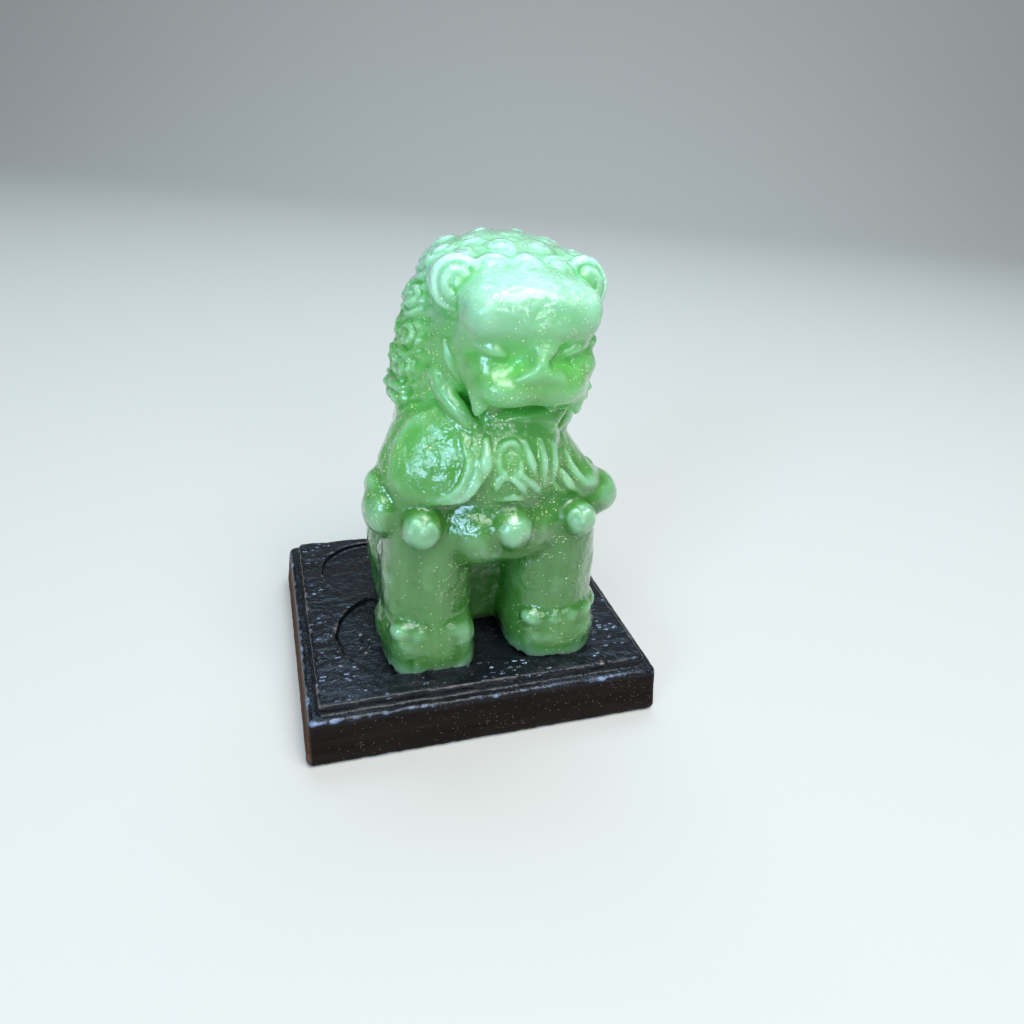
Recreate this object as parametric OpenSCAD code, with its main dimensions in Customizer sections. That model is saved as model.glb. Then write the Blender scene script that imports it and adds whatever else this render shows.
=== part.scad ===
// Seated guardian lion (foo dog) in cast resin, glued into a shallow pocket
// in a black-painted wooden base. Millimetres, +Z up, -Y is the front.
// Origin: centre of the underside of the base.

/* [Base] */
// Width of the base at the ledge, left to right
base_w = 76; // [72:0.5:90]
// Depth of the base at the ledge, front to back
base_d = 66; // [64:0.5:80]
// Full height of the base
base_h = 13.4; // [12:0.1:16]
// Height of the ledge that runs round the base
ledge_h = 11.2; // [9:0.1:11.5]
// Width of the ledge
ledge_w = 2.4; // [1.5:0.1:3.5]
// How far each side leans out from the ledge to the bottom
side_flare = 1.1; // [0.5:0.1:2]
// Depth of the pocket that the lion stands in
pocket_depth = 1.2; // [0.8:0.1:2]
// Radius of the two front bores of the pocket
front_bore_r = 14.5; // [14:0.1:15]
// Radius of the two rear bores of the pocket
rear_bore_r = 11.8; // [10:0.1:12]

/* [Lion] */
// Sideways place of the lion's middle on the base
lion_x = 3; // [0:0.5:4]
// Height of the lion, from its paws to the top of its mane
lion_h = 86; // [85.5:0.5:87]
// How far the head sits towards the lion's left
head_x = 2; // [0:0.5:2.5]
// Half the distance between the front legs' middles
leg_spread = 13.8; // [13.4:0.1:14.4]
// Radius of a front leg
leg_r = 9; // [8.4:0.1:9.2]
// Height of the belly's lowest point above the paws
belly_clear = 23.2; // [22:0.2:25]
// Radius of the bell on the chest
bell_r = 4.3; // [3.6:0.1:4.6]
// Radius of a curl of the mane
curl_r = 3.6; // [3.3:0.1:3.8]

/* [Adhesive] */
// Thickness of the glue under the lion
glue_t = 0.3; // [0.2:0.05:0.5]
// Radius of the glue spot under a paw
glue_paw_r = 5.5; // [4:0.5:6.5]
// Radius of the glue spot under the rump
glue_seat_r = 9; // [6:0.5:11]

/* [Hidden] */
$fn = 48;

bottom_w = base_w + 2 * side_flare;
bottom_d = base_d + 2 * side_flare;
plateau_w = base_w - 2 * ledge_w;
plateau_d = base_d - 2 * ledge_w;
bottom_ease = 1.2;
ledge_ease = 0.5;
top_ease = 0.4;

pocket_floor = base_h - pocket_depth;
front_bore = [15.3, -9.9];
rear_bore = [18.8, 16];
bore_through = 1;
// The wood between the bores is cleared a little short of their front and back edges
pocket_half_w = 20;
pocket_front = front_bore[1] - front_bore_r + 0.3;
pocket_back = rear_bore[1] + rear_bore_r - 2;

foot = pocket_floor + glue_t;
leg_mid = -0.4;
leg_y = -14.6;
paw_corner_r = 4.4;
rump_y = 4;
wall_y = -10;
belly_r = 8.4;
neck_x = head_x * 0.6;
mane_sweep = 106;
crown_droop = 0.012;
hairline = [-15.8, 81.2];
mouth_low = 55.9;
mouth_high = 59.6;
// Tiers of the mane: height, reach sideways, reach back, number of curls
tiers = [
    [78.6, 13.2, 12.2, 7],
    [72.4, 15.0, 13.8, 8],
    [66.2, 16.4, 14.6, 8],
    [60.0, 17.6, 15.0, 8],
    [53.8, 18.1, 14.8, 8]
];
// Rows of curls over the crown: y, half width of the row, number of curls
crown_rows = [
    [-9.6, 10.2, 4],
    [-3.4, 12.6, 5],
    [3.0, 10.0, 4]
];

black_paint = [0.03, 0.025, 0.025];
clear_glue = [0.85, 0.86, 0.78];
jade_resin = [0.42, 0.78, 0.47];

// ---------- base ----------

// Section of a leaning side pair: eased at the bottom and at the ledge.
module leaning_section(bottom, top) {
    polygon([
        [-bottom / 2 + bottom_ease, 0],
        [bottom / 2 - bottom_ease, 0],
        [bottom / 2 - bottom_ease * 0.3, bottom_ease * 0.3],
        [bottom / 2 - bottom_ease * 0.1, bottom_ease],
        [top / 2, ledge_h - ledge_ease],
        [top / 2 - ledge_ease, ledge_h],
        [-top / 2 + ledge_ease, ledge_h],
        [-top / 2, ledge_h - ledge_ease],
        [-bottom / 2 + bottom_ease * 0.1, bottom_ease],
        [-bottom / 2 + bottom_ease * 0.3, bottom_ease * 0.3]
    ]);
}

module lower_block() {
    intersection() {
        rotate([90, 0, 0])
            linear_extrude(bottom_d + 2, center = true)
                leaning_section(bottom_w, base_w);
        rotate([90, 0, 90])
            linear_extrude(bottom_w + 2, center = true)
                leaning_section(bottom_d, base_d);
    }
}

// Section of the raised middle of the board, with eased top edges.
module plateau_section(width) {
    low = ledge_h - 1;
    polygon([
        [-width / 2, low],
        [width / 2, low],
        [width / 2, base_h - top_ease],
        [width / 2 - top_ease, base_h],
        [-width / 2 + top_ease, base_h],
        [-width / 2, base_h - top_ease]
    ]);
}

module plateau() {
    intersection() {
        rotate([90, 0, 0])
            linear_extrude(plateau_d, center = true)
                plateau_section(plateau_w);
        rotate([90, 0, 90])
            linear_extrude(plateau_w, center = true)
                plateau_section(plateau_d);
    }
}

// Four flat-bottomed bores with the wood between them cleared away.
module pocket() {
    translate([0, 0, pocket_floor]) {
        for (side = [-1, 1]) {
            translate([side * front_bore[0], front_bore[1], 0])
                cylinder(h = pocket_depth + bore_through, r = front_bore_r);
            translate([side * rear_bore[0], rear_bore[1], 0])
                cylinder(h = pocket_depth + bore_through, r = rear_bore_r);
        }
        translate([-pocket_half_w, pocket_front, 0])
            cube([2 * pocket_half_w, pocket_back - pocket_front, pocket_depth + bore_through]);
    }
}

module base_board() {
    color(black_paint)
        difference() {
            union() {
                lower_block();
                plateau();
            }
            pocket();
        }
}

// ---------- adhesive ----------

module glue_spot(x, y, r) {
    color(clear_glue)
        translate([x, y, pocket_floor])
            cylinder(h = glue_t, r = r);
}

module glue_left_paw() {
    glue_spot(lion_x + leg_mid - leg_spread, leg_y, glue_paw_r);
}

module glue_right_paw() {
    glue_spot(lion_x + leg_mid + leg_spread, leg_y, glue_paw_r);
}

module glue_seat() {
    glue_spot(lion_x, rump_y, glue_seat_r);
}

// ---------- lion ----------
// Places below are from the lion's middle and the soles of its feet, as [x, y, z, radius].

module ball(b, facets = 14) {
    translate([b[0], b[1], b[2]]) sphere(r = b[3], $fn = facets);
}

// One smooth form drawn tight over a few balls.
module form(balls, facets = 20) {
    hull() for (b = balls) ball(b, facets);
}

module both_sides() {
    for (side = [0, 1]) mirror([side, 0, 0]) children();
}

module front_leg() {
    form([
        [leg_spread + 0.6, leg_y + 2, 38, leg_r],
        [leg_spread, leg_y, 22, leg_r],
        [leg_spread, leg_y, 8, leg_r]
    ]);
    // Paw: the foot of the leg, squared off in front
    form([
        for (x = [-4.7, 4.7], z = [0, 7])
            [leg_spread + x, leg_y - 5.2, z, paw_corner_r],
        [leg_spread - 4.4, leg_y + 6, 5, paw_corner_r],
        [leg_spread + 4.4, leg_y + 6, 5, paw_corner_r]
    ], 16);
    // Dew claw on the outer side
    ball([leg_spread + 7.6, -13.2, 7.2, 3.4]);
}

module haunch() {
    form([[13.4, 8, 12, 11.4], [13.4, 1, 12, 11], [13.4, 8, 3, 9]]);
    form([[17, 5, 4.4, 5.4], [17.4, -2.2, 4, 4.8]], 14);
}

module trunk() {
    // Rump, with a flat front between the legs
    form([
        for (x = [-8, 8], z = [4, 26])
            [x, wall_y + 6, z, 6],
        [6, 5, 6, 12],
        [-6, 5, 6, 12],
        [5, 4, 34, 13.5],
        [-5, 4, 34, 13.5],
        [0, 3, 48, 15]
    ]);
    // Shoulders and chest
    form([
        [10.4, -8.4, 42, 11.6],
        [-10.4, -8.4, 42, 11.6],
        [5, -12.6, 44, 11.6],
        [-5, -12.6, 44, 11.6],
        [0, 0, 50, 14]
    ]);
    // Belly that hangs over the gap between the legs, and the bell on it
    form([
        [-5, -16, belly_clear + belly_r, belly_r],
        [3.6, -16, belly_clear + belly_r, belly_r],
        [0, -8, belly_clear + 12, 10]
    ]);
    form([[0.3, -24.4, 34, bell_r], [0.3, -18, 35, bell_r + 1]], 16);
    both_sides() {
        // Bead at the knee and tufts at the elbow
        form([[16.3, -20.8, 33.8, 3.9], [15.4, -16, 34, 5]], 14);
        form([[22.7, -13.8, 33.4, 4.4], [22.7, -12.4, 37.4, 4.4], [18, -8, 36, 5]], 14);
    }
}

module head() {
    form([
        [5.4, -11, 70.5, 9.6],
        [-5.4, -11, 70.5, 9.6],
        [4.6, -12, 64, 9.8],
        [-4.6, -12, 64, 9.8],
        [0, 0, 62, 14]
    ]);
    // Forehead, ending below in the brows
    form([
        [7.4, -17, 76, 6],
        [-7.4, -17, 76, 6],
        [6.2, -22.6, 73.8, 3.8],
        [-6.2, -22.6, 73.8, 3.8]
    ], 18);
    // Muzzle with its nose
    form([[5, -22, 64, 5], [-5, -22, 64, 5], [0, -19, 64.6, 6]], 18);
    form([[2, -26.6, 67.8, 3.4], [-2, -26.6, 67.8, 3.4], [0, -23.6, 73, 3.4]], 14);
    // Lower jaw and throat
    form([
        for (x = [-5.4, 5.4], z = [51.8, 53.4])
            [x, -21.2, z, 2.5],
        [0, -11, 50, 9.6]
    ], 16);
    both_sides() {
        // Eye, cheek, ear, fang and the lock along the jaw
        form([[7.8, -22.4, 69.6, 2.4], [9.6, -20, 67, 3.4]], 12);
        form([[9, -16.6, 65, 5.4], [8, -18, 62, 5]], 14);
        form([[11.8, -12.4, 78.8, 5], [12, -14.2, 79, 4.4]], 16);
        form([[8.8, -21.4, 61.6, 2], [9.1, -21.6, 58, 1.2]], 12);
        form([[14, -12.6, 60, 2.4], [9.6, -17.6, 53.6, 2.4]], 12);
    }
}

// Slot of the half-open mouth, between the upper lip and the lower jaw.
module mouth() {
    translate([-8, -36, mouth_low])
        cube([15.2, 15, mouth_high - mouth_low]);
}

// Tiers of curls round the back of the head, and rows of them over the crown.
module mane() {
    hull() {
        translate([head_x, -4.6, lion_h - 10])
            scale([14, 13.4, 8.4]) sphere(r = 1, $fn = 28);
        translate([neck_x, 0, 57])
            scale([18.6, 15.4, 10]) sphere(r = 1, $fn = 28);
    }
    for (tier = tiers) {
        count = tier[3];
        for (i = [0 : count - 1]) {
            turn = mane_sweep * (2 * (i + 0.5) / count - 1);
            ball([neck_x + tier[1] * sin(turn), tier[2] * cos(turn) - 1, tier[0], curl_r], 10);
        }
    }
    for (row = crown_rows, i = [0 : row[2] - 1]) {
        x = row[1] * (2 * i / (row[2] - 1) - 1);
        ball([head_x + x, row[0], lion_h - curl_r - crown_droop * x * x, curl_r], 10);
    }
    for (x = [-5.9, 0, 5.9])
        ball([head_x + x, hairline[0], hairline[1], curl_r], 10);
}

// Flame-shaped tail that stands against the back.
module tail() {
    form([[0, 16.4, 4, 5], [0, 17.6, 14, 4.6], [0, 16.6, 30, 2.4]], 14);
    both_sides()
        form([[4.6, 16.6, 5, 4.2], [6.2, 17, 14, 3.2], [5.4, 16, 23, 2]], 12);
}

module lion_casting() {
    color(jade_resin)
        translate([lion_x, 0, foot])
            intersection() {
                union() {
                    translate([leg_mid, 0, 0]) both_sides() front_leg();
                    both_sides() haunch();
                    trunk();
                    translate([head_x, 0, 0])
                        difference() {
                            head();
                            mouth();
                        }
                    mane();
                    tail();
                }
                // Flat underside, and the height of the crown
                translate([-base_w / 2, -base_d / 2, 0])
                    cube([base_w, base_d, lion_h]);
            }
}

base_board();
glue_left_paw();
glue_right_paw();
glue_seat();
lion_casting();
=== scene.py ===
"""Jade-green resin guardian lion on a black-painted wooden base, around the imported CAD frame.

The lion and the board are sculpted as clay: a signed distance field on a grid, to which
rounded forms are added and from which grooves are cut, and which is then skinned as a mesh.
The lion's clay is in millimetres in its own frame: x from the lion's middle, y as in the CAD
model (the front is -y) and z from the soles of its feet. The board's clay is in millimetres too,
in the CAD model's frame. In both, "left" is the side with lower x.
"""
import itertools
import math

import bpy
import numpy as np
from mathutils import Euler, Matrix, Vector


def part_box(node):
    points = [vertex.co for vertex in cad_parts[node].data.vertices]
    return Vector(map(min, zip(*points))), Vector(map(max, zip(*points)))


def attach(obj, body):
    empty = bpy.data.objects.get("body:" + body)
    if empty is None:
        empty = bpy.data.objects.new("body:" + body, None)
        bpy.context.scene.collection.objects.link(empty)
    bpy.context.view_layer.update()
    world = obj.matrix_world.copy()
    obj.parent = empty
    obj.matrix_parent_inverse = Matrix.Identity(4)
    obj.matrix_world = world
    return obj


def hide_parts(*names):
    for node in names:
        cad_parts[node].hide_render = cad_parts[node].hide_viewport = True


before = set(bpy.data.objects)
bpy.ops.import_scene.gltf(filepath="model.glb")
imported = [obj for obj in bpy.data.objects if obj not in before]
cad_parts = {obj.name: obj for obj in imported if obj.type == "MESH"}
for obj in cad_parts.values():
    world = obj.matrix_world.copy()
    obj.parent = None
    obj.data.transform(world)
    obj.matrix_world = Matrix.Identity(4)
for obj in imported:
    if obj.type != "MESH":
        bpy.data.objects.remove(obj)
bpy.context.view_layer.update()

MM = 0.001
FAR = 6.0           # what the clay holds where there is nothing, mm
VOXEL = 0.4
GLUE_VOXEL = 0.2
FACE_LIMIT = 190000  # triangles in one finished piece
LEFT, RIGHT = -1, 1

lion_low, lion_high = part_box("lion_casting")
board_low, board_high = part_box("base_board")
LION_X = (lion_low.x + lion_high.x) / 2
FOOT_Z = lion_low.z
BOARD_W = (board_high.x - board_low.x) / MM
BOARD_D = (board_high.y - board_low.y) / MM
BOARD_H = board_high.z / MM


# ---------------------------------------------------------------- clay

def soft_min(a, b, blend):
    """The smaller of two fields, with the crease between them filled over `blend` mm."""
    share = np.clip(0.5 + 0.5 * (b - a) / blend, 0, 1)
    return b + (a - b) * share - blend * share * (1 - share)


def soft_max(a, b, blend):
    return -soft_min(-a, -b, blend)


def ramp(value, start, end):
    """0 where the value is at `start`, 1 where it is at `end`, straight between."""
    return np.clip((value - start) / (end - start), 0, 1)


def unit(vector):
    vector = np.asarray(vector, float)
    return vector / np.linalg.norm(vector)


class Clay:
    """A signed distance field on a regular grid, negative inside, in millimetres."""

    def __init__(self, low, high, voxel):
        self.low = np.array(low, float)
        self.voxel = voxel
        self.axes = [np.arange(a, b + voxel, voxel, dtype=np.float32) for a, b in zip(low, high)]
        self.field = np.full([len(a) for a in self.axes], FAR, np.float32)

    def window(self, low, high):
        """The slices and the open coordinate arrays of one block of the grid."""
        cuts = []
        for axis, a, b in zip(self.axes, low, high):
            first, last = np.searchsorted(axis, (a, b))
            cuts.append(slice(max(first - 1, 0), last + 1))
        return tuple(cuts), np.ix_(*[axis[c] for axis, c in zip(self.axes, cuts)])

    def grid(self):
        return np.ix_(*self.axes)

    def add(self, shape, blend=1.0):
        distance, low, high = shape
        pad = blend + 1.5
        cuts, grid = self.window(low - pad, high + pad)
        self.field[cuts] = soft_min(self.field[cuts], distance(*grid), blend)

    def cut(self, shape, blend=0.5):
        distance, low, high = shape
        pad = blend + 0.8
        cuts, grid = self.window(low - pad, high + pad)
        self.field[cuts] = -soft_min(-self.field[cuts], distance(*grid), blend)

    def add_pair(self, shape, blend=1.0, middle=0.0):
        self.add(shape, blend)
        self.add(mirrored(shape, middle), blend)

    def cut_pair(self, shape, blend=0.5, middle=0.0):
        self.cut(shape, blend)
        self.cut(mirrored(shape, middle), blend)


def mirrored(shape, middle):
    distance, low, high = shape
    new_low = np.array([2 * middle - high[0], low[1], low[2]])
    new_high = np.array([2 * middle - low[0], high[1], high[2]])
    return (lambda x, y, z: distance(2 * middle - x, y, z)), new_low, new_high


def egg(centre, radii, tilt=(0, 0, 0)):
    """An ellipsoid, turned by `tilt` degrees about x, y and z."""
    centre = np.array(centre, float)
    turn = np.array(Euler([math.radians(a) for a in tilt]).to_matrix())

    def distance(x, y, z):
        offset = (x - centre[0], y - centre[1], z - centre[2])
        local = [sum(turn[j][i] * offset[j] for j in range(3)) for i in range(3)]
        near = np.sqrt(sum((local[i] / radii[i]) ** 2 for i in range(3)))
        slope = np.sqrt(sum((local[i] / radii[i] ** 2) ** 2 for i in range(3)))
        return near * (near - 1) / np.maximum(slope, 1e-4)

    reach = np.array(radii, float) if not any(tilt) else np.full(3, max(radii), float)
    return distance, centre - reach, centre + reach


def ball(centre, radius):
    return egg(centre, (radius, radius, radius))


def block(centre, half, rounding=0.0):
    """A box, with its edges rounded."""
    centre = np.array(centre, float)
    half = np.array(half, float)

    def distance(x, y, z):
        over = [np.abs(v - c) - h + rounding for v, c, h in zip((x, y, z), centre, half)]
        outside = np.sqrt(sum(np.maximum(o, 0) ** 2 for o in over))
        inside = np.minimum(np.maximum(np.maximum(over[0], over[1]), over[2]), 0)
        return outside + inside - rounding

    return distance, centre - half, centre + half


def smooth_path(points, steps=5):
    """Rows of numbers along a smooth curve through the given rows."""
    points = np.array(points, float)
    if len(points) < 3:
        return points
    ends = np.vstack([2 * points[0] - points[1], points, 2 * points[-1] - points[-2]])
    path = []
    for a, b, c, d in zip(ends, ends[1:], ends[2:], ends[3:]):
        for t in np.arange(steps) / steps:
            path.append(0.5 * (2 * b + (c - a) * t + (2 * a - 5 * b + 4 * c - d) * t ** 2
                               + (3 * b - a - 3 * c + d) * t ** 3))
    path.append(points[-1])
    return np.array(path)


def strand(points, radii, outward=(0, -1, 0), flat=1.0, flutes=0, depth=0.3, steps=5):
    """A rounded cord of clay along a curve. It may be flattened towards the body, by `flat`,
    and have `flutes` grooves along it, as combed hair has."""
    radii = np.broadcast_to(np.array(radii, float), (len(points),))
    path = smooth_path(np.column_stack([np.array(points, float), radii]), steps)
    outward = unit(outward)

    def distance(x, y, z):
        best = None
        for start, end in zip(path, path[1:]):
            axis = end[:3] - start[:3]
            length = np.linalg.norm(axis)
            axis = axis / length
            side = unit(np.cross(axis, outward) + 1e-9)
            up = np.cross(side, axis)
            p = (x - start[0], y - start[1], z - start[2])
            along = sum(p[i] * axis[i] for i in range(3))
            t = np.clip(along / length, 0, 1)
            across = sum(p[i] * side[i] for i in range(3))
            lift = sum(p[i] * up[i] for i in range(3))
            radius = start[3] + (end[3] - start[3]) * t
            d = np.sqrt(across ** 2 + (lift / flat) ** 2 + (along - t * length) ** 2) - radius
            if flat < 1:
                d = d * (flat + (1 - flat) * np.clip(np.abs(across) / radius, 0, 1))
            if flutes:
                d = d + depth * (0.5 + 0.5 * np.cos(math.pi * (1 + flutes * across / radius)))
            best = d if best is None else np.minimum(best, d)
        return best

    reach = path[:, 3].max()
    return distance, path[:, :3].min(0) - reach, path[:, :3].max(0) + reach


def curl(centre, outward, radius, hand=1, turns=1.7, height=0.75, depth=0.6, start=0.0):
    """A snail-shell curl: a dome with a spiral groove wound from its rim to its middle."""
    centre = np.array(centre, float)
    n = unit(outward)
    t = unit(np.cross(n, (0.13, 0.21, 1.0)))
    b = np.cross(n, t)

    def distance(x, y, z):
        p = (x - centre[0], y - centre[1], z - centre[2])
        lift, u, v = (sum(p[i] * axis[i] for i in range(3)) for axis in (n, t, b))
        rho = np.sqrt(u ** 2 + v ** 2)
        near = np.sqrt((rho / radius) ** 2 + (lift / (radius * height)) ** 2)
        slope = np.sqrt((rho / radius ** 2) ** 2 + (lift / (radius * height) ** 2) ** 2)
        dome = near * (near - 1) / np.maximum(slope, 1e-4)
        winding = turns * rho / radius - hand * np.arctan2(v, u) / (2 * math.pi) + start
        off_groove = np.abs(winding - np.round(winding))
        groove = np.clip(1 - off_groove / 0.24, 0, 1) * np.clip(rho / radius / 0.22 - 0.6, 0, 1)
        return dome + depth * groove ** 0.8

    return distance, centre - radius, centre + radius


def lumps(clay, size, seed):
    """Smooth random swells from -1 to 1 over the clay's grid. `size` is their spacing in mm,
    or the spacing along x, y and z."""
    rng = np.random.default_rng(seed)
    sizes = np.broadcast_to(np.array(size, float), (3,))
    counts = [int((a[-1] - a[0]) / gap) + 3 for a, gap in zip(clay.axes, sizes)]
    values = rng.uniform(-1, 1, counts).astype(np.float32)
    for i, axis in enumerate(clay.axes):
        place = (axis - axis[0]) / sizes[i]
        whole = place.astype(int)
        part = place - whole
        part = part * part * (3 - 2 * part)
        shape = [1, 1, 1]
        shape[i] = -1
        part = part.reshape(shape)
        values = np.take(values, whole, i) * (1 - part) + np.take(values, whole + 1, i) * part
    return values


def blurred(field, cells):
    """The field averaged over a box of that many cells each way."""
    for axis in range(3):
        margins = [(cells + 1, cells) if i == axis else (0, 0) for i in range(3)]
        padded = np.pad(field, margins, "edge")
        total = np.cumsum(padded, axis, dtype=np.float32)
        count = field.shape[axis]
        far = np.take(total, np.arange(2 * cells + 1, 2 * cells + 1 + count), axis)
        near = np.take(total, np.arange(0, count), axis)
        field = (far - near) / (2 * cells + 1)
    return field


def sampled(field, places):
    """The field's value at places given in grid cells."""
    whole = np.clip(places.astype(int), 0, np.array(field.shape) - 2)
    part = (places - whole).astype(np.float32)
    value = 0
    for corner in itertools.product((0, 1), repeat=3):
        weight = np.prod([part[:, i] if corner[i] else 1 - part[:, i] for i in range(3)], axis=0)
        value = value + weight * field[tuple((whole + corner).T)]
    return value


def skin(clay):
    """Points and quads of the clay's surface, one point in each cell that the surface crosses."""
    field = clay.field
    inside = field < 0
    shape = np.array(field.shape)
    count = np.zeros(shape - 1, np.int8)
    corners = list(itertools.product((0, 1), repeat=3))
    for corner in corners:
        count += inside[tuple(slice(c, n - 1 + c) for c, n in zip(corner, shape))]
    crossed = (count > 0) & (count < 8)
    cells = np.argwhere(crossed)
    number = np.full(crossed.shape, -1, np.int64)
    number[tuple(cells.T)] = np.arange(len(cells))
    total = np.zeros((len(cells), 3))
    hits = np.zeros(len(cells))
    for a, b in itertools.combinations(corners, 2):
        if sum(abs(i - j) for i, j in zip(a, b)) != 1:
            continue
        fa = field[tuple((cells + a).T)]
        fb = field[tuple((cells + b).T)]
        crosses = (fa < 0) != (fb < 0)
        t = np.where(crosses, fa / np.where(crosses, fa - fb, 1), 0)
        point = np.array(a) + t[:, None] * (np.array(b) - np.array(a))
        total[crosses] += point[crosses]
        hits[crosses] += 1
    points = cells + total / hits[:, None]
    quads = []
    for axis in range(3):
        p, q = [i for i in range(3) if i != axis]
        low = inside[tuple(slice(0, -1) if i == axis else slice(None) for i in range(3))]
        high = inside[tuple(slice(1, None) if i == axis else slice(None) for i in range(3))]
        edges = np.argwhere(low != high)
        edges = edges[(edges[:, p] > 0) & (edges[:, q] > 0)
                      & (edges[:, p] < shape[p] - 1) & (edges[:, q] < shape[q] - 1)]
        ring = []
        for dp, dq in ((0, 0), (-1, 0), (-1, -1), (0, -1)):
            cell = edges.copy()
            cell[:, p] += dp
            cell[:, q] += dq
            ring.append(number[tuple(cell.T)])
        ring = np.column_stack(ring)
        start_inside = inside[tuple(edges.T)]
        flip = start_inside if axis != 1 else ~start_inside
        ring[~flip] = ring[~flip][:, ::-1]
        quads.append(ring)
    furthest = 0.6 / clay.voxel
    for _ in range(2):   # draw the points onto the surface
        value = sampled(field, points)
        slope = np.column_stack([
            sampled(field, points + 0.5 * step) - sampled(field, points - 0.5 * step)
            for step in np.eye(3)])
        steep = np.maximum((slope ** 2).sum(1), 0.02 * clay.voxel ** 2)
        points -= np.clip(value / steep, -furthest, furthest)[:, None] * slope * 0.8
    return points, np.vstack(quads)


def piece_from_clay(name, clay, origin, marks):
    """A Blender object of the clay's surface. `marks` are fields kept as point attributes."""
    points, quads = skin(clay)
    mesh = bpy.data.meshes.new(name)
    mesh.vertices.add(len(points))
    places = (clay.low + points * clay.voxel) * MM + np.array(origin)
    mesh.vertices.foreach_set("co", places.astype(np.float32).ravel())
    mesh.loops.add(quads.size)
    mesh.loops.foreach_set("vertex_index", quads.ravel().astype(np.int32))
    mesh.polygons.add(len(quads))
    mesh.polygons.foreach_set("loop_start", np.arange(0, quads.size, 4, dtype=np.int32))
    mesh.update(calc_edges=True)
    for mark, field in marks.items():
        layer = mesh.attributes.new(mark, "FLOAT", "POINT")
        layer.data.foreach_set("value", sampled(field, points).astype(np.float32))
    piece = bpy.data.objects.new(name, mesh)
    bpy.context.scene.collection.objects.link(piece)
    triangles = 2 * len(quads)
    if triangles > FACE_LIMIT:
        thin = piece.modifiers.new("thin", "DECIMATE")
        thin.ratio = FACE_LIMIT / triangles
        apply_modifiers(piece)
    piece.data.polygons.foreach_set("use_smooth", np.ones(len(piece.data.polygons), bool))
    return piece


def apply_modifiers(piece):
    graph = bpy.context.evaluated_depsgraph_get()
    done = bpy.data.meshes.new_from_object(piece.evaluated_get(graph), depsgraph=graph)
    piece.modifiers.clear()
    piece.data = done


# ---------------------------------------------------------------- lion

HEAD_X = 2.0        # the middle of the face, which is set a little to the right
LEG_MID = -0.4      # halfway between the front legs
LEG_X = LEG_MID + 13.8
DEEP_BLUR = 2.2     # reach of the average that tells ridges from hollows, mm


def laid(clay, points, lift=0.0):
    """(x, z) points laid on the front of the clay, `lift` mm proud of it."""
    places = []
    for x, z in points:
        i = int(round((x - clay.axes[0][0]) / clay.voxel))
        k = int(round((z - clay.axes[2][0]) / clay.voxel))
        column = clay.field[i, :, k]
        first = int(np.argmax(column < 0))
        step = column[first - 1] / (column[first - 1] - column[first])
        places.append((x, clay.axes[1][0] + (first - 1 + step) * clay.voxel - lift, z))
    return places


def lock(clay, points, radii, flat=0.7, blend=0.7, sink=0.3):
    """A lock of hair combed over the front of the clay."""
    clay.add(strand(laid(clay, points, -sink), radii, (0, -1, 0.2), flat), blend)


def sculpt_trunk(clay):
    clay.add(block((0, 3.6, 15), (16, 13.6, 17), 6), 2)
    clay.add(egg((0, 3, 42), (18.5, 16.5, 22)), 4)
    clay.add(egg((0, -8.8, 42), (16.2, 15.0, 16)), 4)
    clay.add(egg((-11.4, -8, 43.4), (10.2, 11.4, 12.8), (0, 0, -8)), 4)
    clay.add(egg((7.6, -8, 38.6), (10.6, 11.4, 12.4), (0, 0, 8)), 3)
    # Belly that hangs over the gap between the legs
    clay.add(egg((-1.2, -15.6, 31.6), (12.4, 10.2, 8.4)), 2)
    # Bony ridge down the spine
    for step in range(6):
        clay.add(egg((0, 18.6 - 0.25 * (step - 1.5) ** 2, 24 + 4.6 * step), (2.6, 1.8, 2.8)), 1.4)


def sculpt_haunch(clay):
    clay.add_pair(egg((13.6, 7.2, 13), (10.0, 12.8, 14)), 2)
    clay.add_pair(strand([(17, 8, 4), (17.4, 2, 4.4), (17.4, -2.6, 3.6)], [5.4, 5.2, 4.6]), 2)
    # Flame of fur on the thigh
    clay.add_pair(curl((21.0, 9, 18), (1, 0.15, 0.2), 5.2, height=0.42, depth=0.5, turns=1.5), 1.0)
    for drop in range(3):
        path = [(20.6, 13.5 - drop, 14 - 3.4 * drop), (20.2, 17, 15 - 3.6 * drop),
                (17.6, 20.2, 18 - 3.8 * drop)]
        clay.add_pair(strand(path, [2.2, 1.9, 0.7], (1, 0.6, 0), 0.7), 1.0)


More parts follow.
